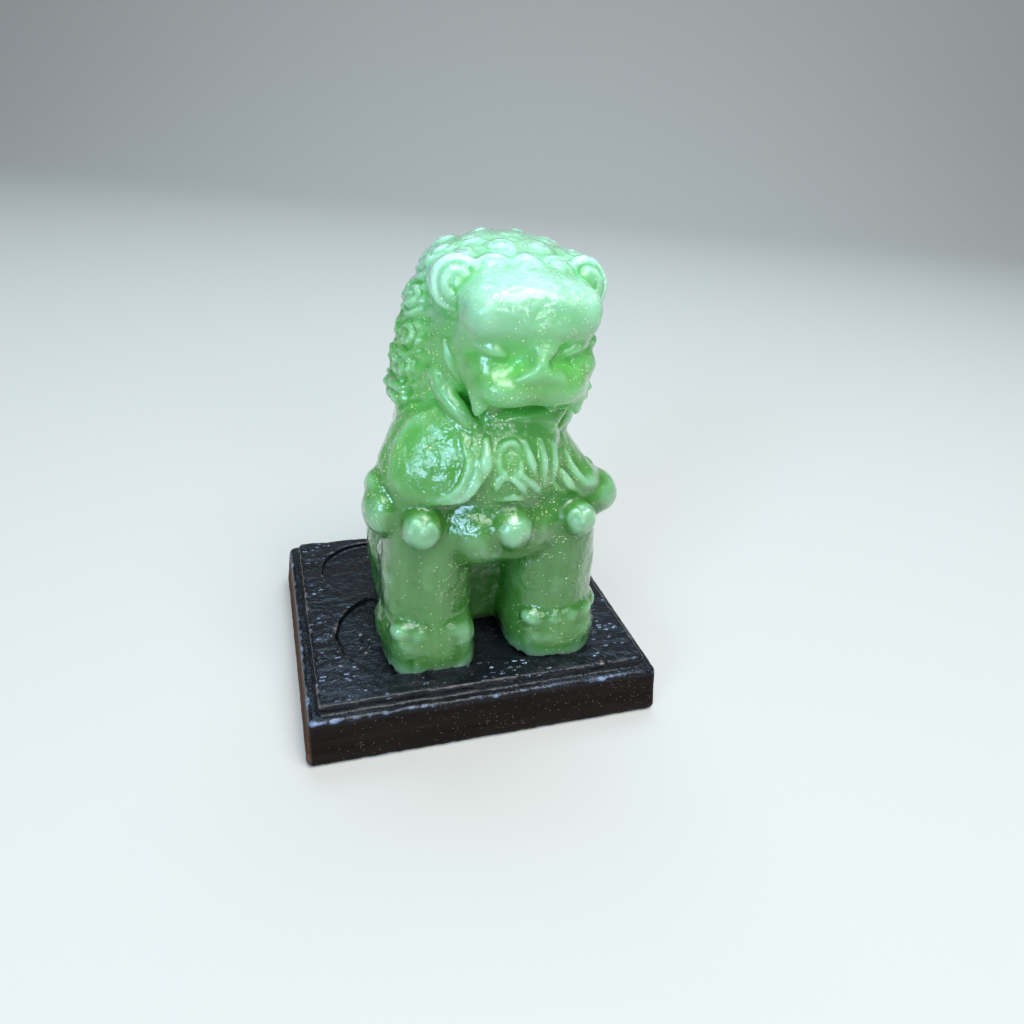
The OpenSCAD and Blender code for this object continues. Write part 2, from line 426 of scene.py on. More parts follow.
def sculpt_front_leg(clay):
    mid = LEG_MID
    for side, shoulder, top, girth in ((LEFT, 14.4, 40, 9.4), (RIGHT, 12.6, 37.6, 8.8)):
        path = ((shoulder, -11, top), (14.0, -13.6, 27), (13.8, -14.4, 14), (13.8, -14.8, 5))
        clay.add(strand([(mid + side * x, y, z) for x, y, z in path], [girth, 9.0, 9.1, 9.2]), 2.5)
    clay.add_pair(block((LEG_X, -11.6, 11), (9.0, 8.8, 14), 4.4), 1.5, mid)
    # Paws: the foot of each column, smooth in front, with the toes only as low bumps on top
    clay.add(block((2 * mid - LEG_X + 0.4, -15.4, 3.6), (9.0, 9.5, 7.8), 4.4), 2.8)
    clay.add(block((LEG_X + 0.3, -15.6, 3.6), (9.2, 10.0, 7.8), 6.6), 3.4)
    for x, y, radius in ((-20.6, -21.4, 2.5), (-17.0, -22.3, 2.5), (-10.0, -22.3, 3.3),
                         (8.2, -21.9, 2.9), (12.2, -22.6, 2.3), (15.6, -22.4, 2.3),
                         (19.0, -21.2, 2.5)):
        z = 10.0 + 0.25 * math.sin(2 * x)
        clay.add(egg((x, y, z), (radius, 2.2, 1.9), (0, 9 * math.sin(x), 0)), 1.2)
    # Notch in the left paw's outer toe
    clay.cut(block((-22.7, -25.5, 0.4), (4.0, 0.9, 4.2), 0.5), 0.5)
    # Outer toes as steps down the side of the right paw
    for y, z, radius in ((-17.0, 9.6, 2.6), (-18.4, 4.6, 1.6)):
        clay.add(egg((LEG_X + 8.2, y, z), (radius, 3.2, 2.4)), 1.2)
    # Bead at the knee, with two short strands over it
    for x, z, radius in ((-16.9, 34.0, 3.9), (15.6, 33.4, 3.6)):
        y = laid(clay, [(x, z)])[0][1] - 0.5
        clay.add(ball((x, y, z), radius), 1.5)
        for shift in (-1.6, 0.9):
            arch = [(x + shift - 1.3, z + 0.9), (x + shift, z + 2.6 - 0.1 * shift),
                    (x + shift + 1.3, z + 1.1)]
            lock(clay, arch, [0.4, 0.8, 0.4], 0.9, 0.4, 0.1)
    # Tufts at the elbow, and the dew claw
    clay.add(egg((-22.9, -13.6, 34.6), (4.4, 5.0, 5.4)), 1.2)
    clay.add(egg((-22.9, -11.2, 38.8), (3.5, 4.6, 3.2)), 1.0)
    clay.add(egg((21.3, -12.6, 34.9), (6.2, 6.2, 5.0), (0, 14, 0)), 2.0)
    clay.add_pair(strand([(21.5, -8.6, 38), (23.5, -7, 33), (22.8, -5.8, 27.5)], [3.2, 2.8, 0.8],
                         (1, 0.2, 0), 0.7, 2, 0.3), 0.9)
    clay.add_pair(egg((21.6, -13.4, 7.2), (2.4, 3.8, 4.6)), 1.5, mid)
    for drop in range(3):
        path = [(21.0, -9.4, 24 - 4.4 * drop), (22.2, -8.2, 21.5 - 4.4 * drop),
                (21.8, -7.4, 18.5 - 4.4 * drop)]
        clay.add_pair(strand(path, [1.8, 1.6, 0.6], (1, 0, 0), 0.7), 0.9)


def sculpt_chest(clay):
    # Scroll on the shoulder with hair swept round it
    clay.add(curl((-13.0, -18.7, 47.6), (-0.47, -0.78, 0.40), 9.2, height=0.17, depth=0.10,
                  turns=1.3, start=0.3), 2.0)
    clay.add_pair(egg((16.6, -13.8, 39.8), (5.4, 5.6, 3.2), (0, 18, 0)), 1.4)
    sweeps = (((9.0, 51.5), (8.4, 47.5), (10.4, 43.0), (14.0, 40.3)),
              ((7.2, 51), (6.9, 46.5), (9.0, 41.8), (12.4, 38.4)),
              ((5.8, 47), (6.4, 43.5), (8.2, 39.6)))
    for side in (LEFT, RIGHT):
        for sweep in sweeps:
            radii = [0.7] + [1.0] * (len(sweep) - 2) + [0.4]
            lock(clay, [(side * x, z) for x, z in sweep], radii, 0.8, 0.5)
    for sweep in (((12.4, 46.8), (14.4, 42.8), (18.0, 39.8)),
                  ((11.2, 43.8), (13.4, 40.4), (17.0, 37.2))):
        lock(clay, sweep, [0.5, 1.1, 0.4], 0.9, 0.4, 0.1)
    clay.add(egg((0.4, -13.2, 45), (9.6, 11.2, 10.5)), 3)
    # Lobes of the belly either side of the bell
    clay.add(egg((-4.6, -18.6, 31.2), (7.2, 6.8, 6.6)), 3)
    clay.add(egg((4.6, -17.6, 31.0), (7.0, 6.6, 6.4)), 3)
    clay.add(ball((0.3, -24.0, 34.0), 4.3), 1.4)
    # Locks of the beard: a loop in the middle, then single locks as (x, z) paths
    around = np.linspace(0.4, 2 * math.pi + 0.1, 9)
    loop = [(-0.8 + 2.3 * math.cos(a), 48.4 + 3.1 * math.sin(a)) for a in around]
    lock(clay, loop, [0.4] + [0.9] * 7 + [0.4], 0.9, 0.4, 0.2)
    for path, radii, flat in (
            (((-5.2, 52.0), (-5.4, 48.5), (-6.0, 45.0)), (0.7, 1.3, 0.4), 0.8),
            (((2.0, 51.6), (3.2, 48.0), (4.3, 44.8)), (0.6, 1.0, 0.3), 0.9),
            (((5.6, 51.2), (6.0, 47.5), (6.6, 43.6)), (0.6, 1.1, 0.3), 0.9),
            (((8.4, 50.0), (8.8, 46.0), (9.0, 42.0)), (0.6, 0.9, 0.3), 0.9),
            (((-2.0, 46.4), (-3.2, 44.4), (-3.2, 41.6)), (0.6, 1.0, 0.3), 0.9),
            (((-0.4, 45.0), (1.4, 43.4), (3.0, 40.8)), (0.6, 0.9, 0.3), 0.9),
            (((1.6, 45.6), (4.2, 43.0), (6.8, 39.6)), (0.6, 0.9, 0.3), 0.9),
            (((-2.6, 40.4), (0.0, 41.2), (2.2, 40.2)), (0.5, 1.0, 0.4), 0.9)):
        lock(clay, path, radii, flat, 0.4, 0.1)


def sculpt_head(clay):
    x = HEAD_X
    clay.add(egg((x * 0.6, -1, 67), (15.2, 14, 16.6)), 3)
    clay.add(egg((0, 0, 57), (16.4, 14.5, 13)), 3)
    clay.add(egg((x, -11.6, 69.5), (14.2, 13.2, 12.4)), 2.5)
    # One wide smooth bulge of forehead, ending below in a straight brow
    clay.add(egg((x, -14.6, 76.2), (13.0, 10.0, 6.4)), 2.0)
    clay.add(block((x + 0.4, -15.2, 75.2), (12.6, 9.8, 4.9), 4.6), 2.4)
    clay.add(egg((x + 0.6, -20.2, 73.6), (10.0, 5.8, 3.6)), 1.6)
    # Cheeks and the tapering sides of the mask
    face_x = x + 0.9
    clay.add_pair(egg((face_x + 7.4, -16.8, 65.0), (5.4, 6.8, 6.6)), 2, face_x)
    clay.add_pair(egg((face_x + 8.7, -20.4, 66.6), (3.4, 3.0, 2.0), (0, 28, 0)), 1.6, face_x)
    clay.add_pair(egg((face_x + 11.2, -18.6, 69.8), (1.4, 1.8, 1.3)), 1.0, face_x)
    clay.add_pair(egg((face_x + 6.6, -18.8, 61.6), (4.4, 5.6, 4.6), (0, -25, 0)), 2, face_x)
    # Upper jaw, with its lip cut straight across
    clay.add(egg((x, -19.2, 63.6), (10.2, 8.2, 5.0)), 2)
    clay.add_pair(egg((x + 4.7, -21.8, 62.6), (5.7, 5.6, 3.8)), 1.8, x)
    # Nose: a broad wedge that widens downwards from the brow
    nose_x = x + 0.9
    bridge = [(x + 0.4, -22.2, 71.6), (nose_x, -24.4, 69.6), (nose_x, -25.2, 67.6)]
    clay.add(strand(bridge, [1.8, 2.5, 3.2]), 2.0)
    clay.add_pair(egg((nose_x + 2.2, -25.0, 66.6), (2.9, 2.8, 2.0), (0, 24, 0)), 1.8, nose_x)
    # Shallow hollows beside the nose, then eyes with their lids close under the brow
    clay.cut_pair(egg((x + 5.2, -27.0, 68.0), (3.4, 2.0, 1.2), (0, 8, 0)), 2.2, x)
    clay.cut_pair(egg((x + 8.4, -25.4, 68.6), (3.0, 1.4, 0.8), (0, 14, 14)), 1.6, x)
    clay.add_pair(strand([(x + 10.0, -21.6, 70.4), (x + 7.6, -23.0, 69.9), (x + 5.6, -23.9, 69.0)],
                         [0.7, 1.3, 0.7]), 0.4, x)
    # Lower jaw set well back under the lip, running into the throat
    clay.add(egg((x * 0.5, -11.8, 50.0), (10.2, 8.8, 6.6)), 2)
    clay.add(block((x + 0.2, -13.4, 53.2), (7.8, 6.4, 3.2), 2.2), 2.4)
    clay.cut(block((x - 0.4, -27, 57.8), (7.6, 7.4, 2.0), 0.2), 0.5)
    lower_lip = [(x - 6.6, -18.4, 55.2), (x, -19.7, 55.4), (x + 6.8, -18.4, 55.0)]
    clay.add(strand(lower_lip, [0.5, 0.6, 0.5]), 0.8)
    # Fangs as small points at the corners of the lip
    clay.add_pair(strand([(x + 8.8, -21.4, 62), (x + 9.3, -22.4, 59.6), (x + 9.5, -22.2, 57.8)],
                         [2.1, 1.4, 0.7]), 1.0, x)


def sculpt_mane(clay):
    x = HEAD_X
    # Smooth neck beside the face
    for y, reach in ((-12.0, 11.6), (-9.0, 12.6)):
        path = [(reach, y, 77), (reach + 1.2, y - 0.4, 70), (reach + 1.8, y - 0.8, 62),
                (reach + 2.2, y - 1.0, 53)]
        clay.add_pair(strand(path, [2.2, 2.7, 2.7, 2.2], (1, -0.2, 0), 0.6), 2.4, x * 0.6)
    # Channel between the mask and the mane
    clay.cut_pair(strand([(x + 14.4, -16.0, 75), (x + 16.4, -15.4, 68), (x + 16.8, -14.4, 60)],
                         [1.5, 2.1, 1.8]), 3.0, x * 0.9)
    # Locks along the mask's edge and the jaw
    for inset in (0.0, 1.3):
        path = [(x + 14.0 - inset, -14.2, 68.6), (x + 13.4 - inset, -15.6, 65.6),
                (x + 11.9 - inset, -16.8, 62.4)]
        clay.add_pair(strand(path, [0.4, 0.8, 0.4], (0.8, -1, 0)), 0.5, x)
    upper = ((14.8, -12.0, 61.6), (13.8, -14.6, 58.8), (11.4, -17.2, 56.2), (8.6, -19.4, 52.8))
    lower = ((15.4, -10.5, 57.4), (14.0, -13.4, 54.0), (11.0, -15.8, 50.8))
    for side, out, scale in ((LEFT, 0.0, 1.0), (RIGHT, -2.2, 0.7)):
        for path, radii in ((upper, (1.8, 2.1, 2.0, 1.0)), (lower, (1.9, 2.0, 1.0))):
            places = [(x + side * (reach + out), y, z) for reach, y, z in path]
            radii = [scale * radius for radius in radii]
            clay.add(strand(places, radii, (0.7 * side, -1, 0), 0.8, 1, 0.25), 1.0)
    # Tiers of curls round the back to the shoulders: height, reach sideways and back, number of
    # curls, and how far round they go on each side, in degrees from the back
    tiers = ((78.4, 12.4, 12.4, 9, 100), (72.6, 15.4, 14.2, 10, 108), (66.4, 16.8, 15.0, 11, 114),
             (60.2, 18.0, 15.4, 10, 114), (54.0, 18.5, 15.2, 11, 112))
    for row, (height, wide, deep, count, sweep) in enumerate(tiers):
        middle_x, middle_y = x * 0.6, -1.6 + 0.4 * row
        clay.add(egg((middle_x, middle_y, height), (wide + 1.5, deep + 1.5, 6.4)), 2.5)
        for i in range(count):
            turn = math.radians(sweep * (2 * (i + 0.5) / count - 1))
            outward = (math.sin(turn), math.cos(turn), (height - 64) / 18)
            place = (middle_x + wide * outward[0], middle_y + deep * outward[1], height)
            clay.add(curl(place, outward, 4.4, hand=LEFT if i % 2 else RIGHT, height=0.66,
                          depth=0.9, turns=2.4, start=0.37 * i), 0.7)
        # Bead at the front end of each tier
        for side in (LEFT, RIGHT):
            turn = math.radians(side * sweep)
            place = (middle_x + (wide - 0.2) * math.sin(turn),
                     middle_y - 1.2 + deep * math.cos(turn), height - 2.6)
            clay.add(ball(place, 1.5), 0.8)
    # Rows of curls over the crown
    clay.add(egg((x, -5.0, 76.6), (14.6, 14, 8.2)), 2.5)
    for y, spots in ((-9.6, (-9.6, -3.4, 3.4, 10.2)), (-3.4, (-12, -6.4, 0, 6.6, 12.6)),
                     (3.0, (-10, -3.4, 3.4, 10))):
        for i, side in enumerate(spots):
            place = (x + side, y, 82.4 - 0.017 * side ** 2 - 0.05 * abs(y + 4))
            outward = (0.05 * side, 0.05 * (y + 6), 1)
            clay.add(curl(place, outward, 3.9, hand=LEFT if i % 2 else RIGHT, height=0.8,
                          depth=0.5, start=0.29 * i + y), 1.0)
    # Ears as flat scrolls, with curls along the hairline between them
    clay.add_pair(egg((x + 11.6, -10.6, 78.4), (5.0, 3.8, 4.9)), 1.2, x)
    clay.add_pair(curl((x + 11.8, -13.9, 78.8), (0.25, -1, 0.4), 5.2, hand=LEFT, height=0.44,
                       depth=0.75, turns=2.1), 0.6, x)
    clay.add_pair(curl((x + 5.9, -15.2, 80.4), (0.1, -0.9, 0.8), 3.9, hand=LEFT, height=0.55,
                       depth=0.5, turns=1.9), 1.0, x)
    clay.add(curl((x, -15.6, 80.8), (0, -0.9, 0.8), 3.9, height=0.55, depth=0.5, turns=1.9), 1.0)


def sculpt_tail(clay):
    """A bushy tail laid up the back, in one tall flame between two shorter ones."""
    flame = [(0, 16, 4), (0, 19.6, 12), (0, 19.6, 23), (0.6, 17.6, 31), (-0.8, 17.4, 37)]
    clay.add(strand(flame, [5.0, 5.4, 4.6, 3.0, 1.2], (0, 1, 0), 0.7, 2, 0.5), 1.8)
    flame = [(4.0, 16.4, 3), (7.0, 19.0, 9), (7.0, 18.8, 17), (8.2, 16.4, 24), (7.0, 16.2, 28.5)]
    clay.add_pair(strand(flame, [3.6, 4.2, 3.6, 2.4, 1.0], (0.2, 1, 0), 0.7, 2, 0.45), 1.6)
    clay.add_pair(curl((4.6, 20.4, 6.4), (0.3, 1, 0), 4.4, depth=0.5), 1.0)


def wear_lion(clay):
    """Soft unevenness of a worn mould, chips along the paws' lower edge and a flat underside."""
    x, y, z = clay.grid()
    clay.field += 0.13 * lumps(clay, 2.6, 11) + 0.06 * lumps(clay, 1.1, 12)
    # Combed ribs across the sides of the mane
    share = (ramp(np.abs(x - HEAD_X), 12, 15) * ramp(y, -12, -9) * ramp(y, 5, 1)
             * ramp(z, 49, 52) * ramp(z, 81, 77))
    rib_gap = 2.6
    ribs = np.cos(2 * math.pi * (z + 0.35 * y + 1.3 * lumps(clay, 6, 13)) / rib_gap)
    clay.field += (0.20 * share * ribs).astype(np.float32)
    rng = np.random.default_rng(5)
    for side in (LEFT, RIGHT):
        for _ in range(13):
            angle = rng.uniform(-2.6, -0.5)
            place = (LEG_MID + side * (LEG_X - LEG_MID) + 9.6 * math.cos(angle),
                     -15.4 + 9.9 * math.sin(angle), rng.uniform(-0.6, 0.3))
            size = rng.uniform(0.6, 1.5)
            clay.cut(egg(place, (size, size * 0.8, size * 0.7), (0, 0, rng.uniform(0, 90))), 0.2)
    clay.field = np.maximum(clay.field, -z)


def sculpt_lion(clay):
    sculpt_trunk(clay)
    sculpt_haunch(clay)
    sculpt_tail(clay)
    sculpt_front_leg(clay)
    sculpt_head(clay)
    sculpt_chest(clay)
    sculpt_mane(clay)
    wear_lion(clay)


def make_lion():
    clay = Clay((-29, -36, -2), (33, 28, 90), VOXEL)
    sculpt_lion(clay)
    deep = blurred(clay.field, round(DEEP_BLUR / VOXEL))
    return piece_from_clay("lion", clay, (LION_X, 0, FOOT_Z), {"deep": deep})


# ---------------------------------------------------------------- board

# Sizes of the CAD model's board, mm
LEDGE_H = 11.2
LEDGE_W = 2.4
SIDE_FLARE = 1.1      # how far the sides lean in, from the underside up to the ledge
POCKET_DEPTH = 1.2
FRONT_BORE, FRONT_BORE_R = (15.3, -9.9), 14.5
REAR_BORE, REAR_BORE_R = (18.8, 16.0), 11.8
POCKET_HALF_W = 20
# Sizes of the clay board, mm
BOARD_MARGIN = 0.25   # the sculpted paint stays this far inside the CAD board
EDGE_BLUR = 0.8       # reach of the average that finds the edges
LEDGE_EDGE_X = BOARD_W / 2 - SIDE_FLARE
LEDGE_EDGE_Y = BOARD_D / 2 - SIDE_FLARE
RAISED_X = LEDGE_EDGE_X - LEDGE_W
RAISED_Y = LEDGE_EDGE_Y - LEDGE_W
POCKET_FLOOR = BOARD_H - POCKET_DEPTH


def sculpt_board(clay):
    """A plank with leaning sides, a rabbet round its top and a pocket of four bores."""
    x, y, z = clay.grid()
    lean = SIDE_FLARE / LEDGE_H
    side = np.abs(x) - (BOARD_W / 2 - BOARD_MARGIN - lean * z)
    front = np.abs(y) - (BOARD_D / 2 - BOARD_MARGIN - lean * z)
    nicks = lumps(clay, (2.2, 2.2, 40), 21)
    lower = soft_max(soft_max(side, front, 1.6), z - LEDGE_H - 0.08 * nicks, 1.0)
    lower = soft_max(lower, -z + BOARD_MARGIN * 0.2, 1.6)
    wobble = 0.16 * lumps(clay, (5, 5, 40), 22) + 0.07 * nicks
    raised = soft_max(np.abs(x) - RAISED_X - wobble, np.abs(y) - RAISED_Y - wobble, 1.2)
    raised = soft_max(raised, z - BOARD_H + BOARD_MARGIN * 0.4, 0.8)
    clay.field = soft_min(lower, raised, 0.7).astype(np.float32)
    cut_pocket(clay)


def cut_pocket(clay):
    """The shallow pocket the lion stands in: two pairs of bores and the floor between them."""
    x, y, z = clay.grid()
    pocket = FAR + 0 * x * y
    for side in (LEFT, RIGHT):
        for (bore_x, bore_y), radius in ((FRONT_BORE, FRONT_BORE_R), (REAR_BORE, REAR_BORE_R)):
            pocket = np.minimum(pocket, np.hypot(x - side * bore_x, y - bore_y) - radius)
    front = FRONT_BORE[1] - FRONT_BORE_R + 0.3
    back = REAR_BORE[1] + REAR_BORE_R - 2
    middle = np.maximum(np.abs(x) - POCKET_HALF_W, np.maximum(front - y, y - back))
    pocket = np.minimum(pocket, middle)
    above_floor = soft_max(pocket, POCKET_FLOOR - z, 0.5)
    clay.field = soft_max(clay.field, -above_floor, 0.5).astype(np.float32)


def paint_board(clay):
    """Thick brushed paint: ridges, runs, blobs, pits and knocks along the edges."""
    x, y, z = clay.grid()
    top = ramp(z, LEDGE_H - 0.6, LEDGE_H)
    off_floor = ramp(z, POCKET_FLOOR + 0.2, POCKET_FLOOR + 0.7)
    brushed = 0.10 * lumps(clay, (4.5, 1.1, 9), 31) + 0.06 * lumps(clay, (1.3, 1.0, 4), 32)
    rough = 0.05 * lumps(clay, (1.4, 1.4, 1.4), 33) + 0.04 * lumps(clay, 0.9, 34)
    paint = brushed * (0.25 + 0.75 * off_floor) * top + rough * (1 - 0.4 * top)
    clay.field += paint.astype(np.float32)
    rng = np.random.default_rng(8)
    for _ in range(26):   # clusters of little blobs on the raised top
        middle = np.array([rng.uniform(-RAISED_X, RAISED_X), rng.uniform(-RAISED_Y, RAISED_Y)])
        lengthwise = rng.uniform() < 0.5
        for _ in range(rng.integers(4, 11)):
            spread = (3.2, 0.8) if lengthwise else (0.9, 2.6)
            place = middle + rng.normal(0, 1, 2) * spread
            if abs(place[0]) > RAISED_X - 0.6 or abs(place[1]) > RAISED_Y - 0.6:
                continue
            size = rng.uniform(0.35, 0.75)
            height = BOARD_H - 0.12
            if rng.uniform() < 0.72:
                clay.add(egg((*place, height), (size, size * rng.uniform(0.6, 1), 0.32)), 0.35)
            else:
                clay.cut(egg((*place, height + 0.1), (size, size, 0.4)), 0.3)
    for _ in range(70):   # knocks and splinters along the ledge's edge
        along = rng.uniform(-1, 1)
        size = rng.uniform(0.3, 0.8)
        on_front = rng.uniform() < 0.55
        if on_front:
            place = (along * BOARD_W / 2, -LEDGE_EDGE_Y, LEDGE_H + rng.uniform(-0.7, 0.3))
            radii = (size * 2.6, size * 0.5, size * 0.45)
        else:
            place = (rng.choice((LEFT, RIGHT)) * LEDGE_EDGE_X, along * BOARD_D / 2,
                     LEDGE_H + rng.uniform(-0.7, 0.3))
            radii = (size * 0.5, size * 2.2, size * 0.45)
        clay.cut(egg(place, radii), 0.25)
    for start, end in ((4, 15), (12, 21), (-19, -13)):   # cracks just under the front edge
        path = [(x_along, -LEDGE_EDGE_Y, LEDGE_H - drop)
                for x_along, drop in ((start, 0.9), ((start + end) / 2, 1.1), (end, 0.4))]
        clay.cut(strand(path, [0.15, 0.35, 0.15]), 0.2)


def make_board():
    low = (-BOARD_W / 2 - 2, -BOARD_D / 2 - 2, -2)
    high = (BOARD_W / 2 + 2, BOARD_D / 2 + 2, BOARD_H + 2)
    clay = Clay(low, high, VOXEL)
    sculpt_board(clay)
    edge = blurred(clay.field, round(EDGE_BLUR / VOXEL))
    paint_board(clay)
    x, y, z = clay.grid()
    # Keep the knocks and the paint inside the CAD board
    past_sides = np.maximum(np.abs(x) - BOARD_W / 2 + 0.03, np.abs(y) - BOARD_D / 2 + 0.03)
    past_faces = np.maximum(z - BOARD_H - 0.3, -z)
    past_cad = np.maximum(past_sides, past_faces)
    clay.field = np.maximum(clay.field, past_cad).astype(np.float32)
    return piece_from_clay("painted_board", clay, (0, 0, 0), {"edge": edge})


# ---------------------------------------------------------------- materials

class Recipe:
    """A material's node tree, with short calls for the nodes that the recipes share.
    Its heights and distances are in metres, from the underside of the board."""

    def __init__(self, name):
        self.material = bpy.data.materials.new(name)
        self.material.use_nodes = True
        self.tree = self.material.node_tree
        self.shader = self.tree.nodes["Principled BSDF"]
        self.place = self.node("ShaderNodeTexCoord").outputs["Object"]

    def node(self, kind, inputs=None, **settings):
        node = self.tree.nodes.new(kind)
        for key, value in settings.items():
            setattr(node, key, value)
        for key, value in (inputs or {}).items():
            if isinstance(value, bpy.types.NodeSocket):
                self.tree.links.new(value, node.inputs[key])
            else:
                node.inputs[key].default_value = value
        return node

    def link(self, socket, target):
        self.tree.links.new(socket, self.shader.inputs[target])

    def noise(self, scale, detail=2.0, roughness=0.5, stretch=None):
        place = self.place
        if stretch:
            place = self.node("ShaderNodeMapping", {"Vector": place, "Scale": stretch}).outputs[0]
        inputs = {"Vector": place, "Scale": scale, "Detail": detail, "Roughness": roughness}
        return self.node("ShaderNodeTexNoise", inputs).outputs["Fac"]

    def band(self, value, low, high, to_low=0.0, to_high=1.0):
        """`to_low` where the value is at `low`, `to_high` where it is at `high`."""
        inputs = {"Value": value, "From Min": low, "From Max": high, "To Min": to_low,
                  "To Max": to_high}
        return self.node("ShaderNodeMapRange", inputs).outputs["Result"]

    def math(self, operation, a, b):
        return self.node("ShaderNodeMath", {0: a, 1: b}, operation=operation).outputs[0]

    def times(self, first, *others):
        for other in others:
            first = self.math("MULTIPLY", first, other)
        return first

    def mix(self, share, a, b):
        inputs = {"Factor": share, "A": a, "B": b}
        return self.node("ShaderNodeMix", inputs, data_type="RGBA").outputs["Result"]

    def mark(self, name):
        return self.node("ShaderNodeAttribute", attribute_name=name).outputs["Fac"]

    def flakes(self, scale, size, share, stretch=(1, 1, 1)):
        """Specks of glitter, 1 on a speck and 0 off it, and a random value for each one's tint.
        `share` is the part of the cells that hold a speck."""
        place = self.node("ShaderNodeMapping", {"Vector": self.place, "Scale": stretch}).outputs[0]
        cells = self.node("ShaderNodeTexVoronoi", {"Vector": place, "Scale": scale})
        chosen = self.node("ShaderNodeSeparateColor", {"Color": cells.outputs["Color"]})
        on_speck = self.band(cells.outputs["Distance"], size, size * 0.7)
        picked = self.math("LESS_THAN", chosen.outputs[0], share)
        return self.times(on_speck, picked), chosen.outputs[1]

    def bump(self, height, strength, distance, under=None):
        inputs = {"Height": height, "Strength": strength, "Distance": distance}
        if under:
            inputs["Normal"] = under
        return self.node("ShaderNodeBump", inputs).outputs["Normal"]


def jade_resin():
    """Milky green casting resin with gold and silver glitter in it. Its colour holds painted
    light: painted shade towards the feet and in hollows, a painted green glow in the upper
    hollows, and paler painted light on the head and ridges.
    """
    m = Recipe("jade_resin")
    height = m.node("ShaderNodeSeparateXYZ", {"Vector": m.place}).outputs["Z"]
    # `thick` is 1 in the clay's hollows and 0 on its ridges; it places the painted shade, glow and
    # highlight below
    thick = m.band(m.mark("deep"), 0.55, -0.75)
    cloud = m.noise(70, 3)
    streaks = m.noise(320, 3, 0.6, (1, 1, 0.1))
    low = m.mix(m.band(streaks, 0.3, 0.7), (0.044, 0.170, 0.020, 1), (0.085, 0.24, 0.050, 1))
    middle = m.mix(m.band(cloud, 0.3, 0.7), (0.11, 0.37, 0.07, 1), (0.165, 0.44, 0.12, 1))
    high = m.mix(m.band(cloud, 0.3, 0.7), (0.26, 0.56, 0.33, 1), (0.35, 0.63, 0.46, 1))
    # Darker towards the feet and paler towards the head: painted shade and painted light from
    # above
    body = m.mix(m.band(height, 0.045, 0.062), low, middle)
    body = m.mix(m.band(height, 0.080, 0.095), body, high)
    # In the hollows: painted shade low down and a painted green glow higher up
    hollow_shade_and_glow = m.mix(m.band(height, 0.057, 0.072), (0.03, 0.20, 0.012, 1), (0.10, 0.58, 0.08, 1))
    body = m.mix(m.band(thick, 0.34, 0.85), body, hollow_shade_and_glow)
    # On the ridges: painted highlight in pale colours, dimmer on the face than on the chest and
    # the crown
    pale = m.mix(m.band(height, 0.042, 0.055), (0.28, 0.50, 0.31, 1), (0.40, 0.66, 0.48, 1))
    pale = m.mix(m.band(height, 0.064, 0.070), pale, (0.22, 0.50, 0.25, 1))
    pale = m.mix(m.band(height, 0.082, 0.094), pale, (0.54, 0.82, 0.68, 1))
    body = m.mix(m.band(thick, 0.32, -0.22), body, pale)
    drift = m.band(m.noise(60, 3), 0.47, 0.64, 0.02, 0.75)
    dense = m.times(drift, m.times(m.band(height, 0.028, 0.050, 0.2, 1.0),
                                   m.band(height, 0.074, 0.086, 1.0, 0.35)))
    fine, gold_tint = m.flakes(2000, 0.24, dense)
    large, _ = m.flakes(1000, 0.20, m.times(dense, 0.35))
    gold = m.math("MAXIMUM", fine, large)
    silver, silver_tint = m.flakes(2300, 0.22, 0.04)
    gold_colour = m.mix(gold_tint, (0.95, 0.82, 0.30, 1), (1.0, 1.0, 0.72, 1))
    silver_colour = m.mix(silver_tint, (0.75, 1.0, 0.88, 1), (1.0, 1.0, 1.0, 1))
    colour = m.mix(m.times(gold, 0.9), body, gold_colour)
    colour = m.mix(silver, colour, silver_colour)
    speck = m.math("MAXIMUM", gold, silver)
    m.link(colour, "Base Color")
    m.link(m.band(speck, 0, 1, 0.95, 0.05), "Subsurface Weight")
    m.link(m.band(m.noise(160, 4), 0.3, 0.75, 0.10, 0.25), "Roughness")
    shader = m.shader
    shader.subsurface_method = "RANDOM_WALK"
    shader.inputs["Subsurface Radius"].default_value = (0.35, 1.0, 0.40)
    shader.inputs["Subsurface Scale"].default_value = 0.005
    shader.inputs["IOR"].default_value = 1.52
    shader.inputs["Coat Weight"].default_value = 1.0
    shader.inputs["Coat Roughness"].default_value = 0.03
    swell = m.bump(m.noise(330, 3, 0.5), 0.35, 0.0010)
    swell = m.bump(m.noise(130, 2, 0.5, (1, 1, 0.45)), 0.25, 0.0012, swell)
    # Fine ribs across the curls of the mane
    along = m.node("ShaderNodeSeparateXYZ", {"Vector": m.place}).outputs["Y"]
    mane = m.times(m.band(along, -0.010, -0.004), m.band(height, 0.060, 0.066))
    ribs = m.times(m.noise(950, 1, 0.4, (0.16, 0.16, 1)), mane)
    swell = m.bump(ribs, 0.5, 0.0012, swell)
    m.link(m.bump(m.noise(900, 3, 0.55), 0.25, 0.0004, swell), "Normal")
    # The wet-looking skin has a fine ripple in patches, which breaks its reflections into glints
    wet = m.band(m.noise(120, 2), 0.42, 0.62, 0.12, 1.0)
    ripple = m.bump(m.times(m.noise(1500, 2, 0.5), wet), 0.5, 0.0012, swell)
    m.link(m.bump(m.noise(650, 3, 0.55), 0.28, 0.0008, ripple), "Coat Normal")
    return m.material


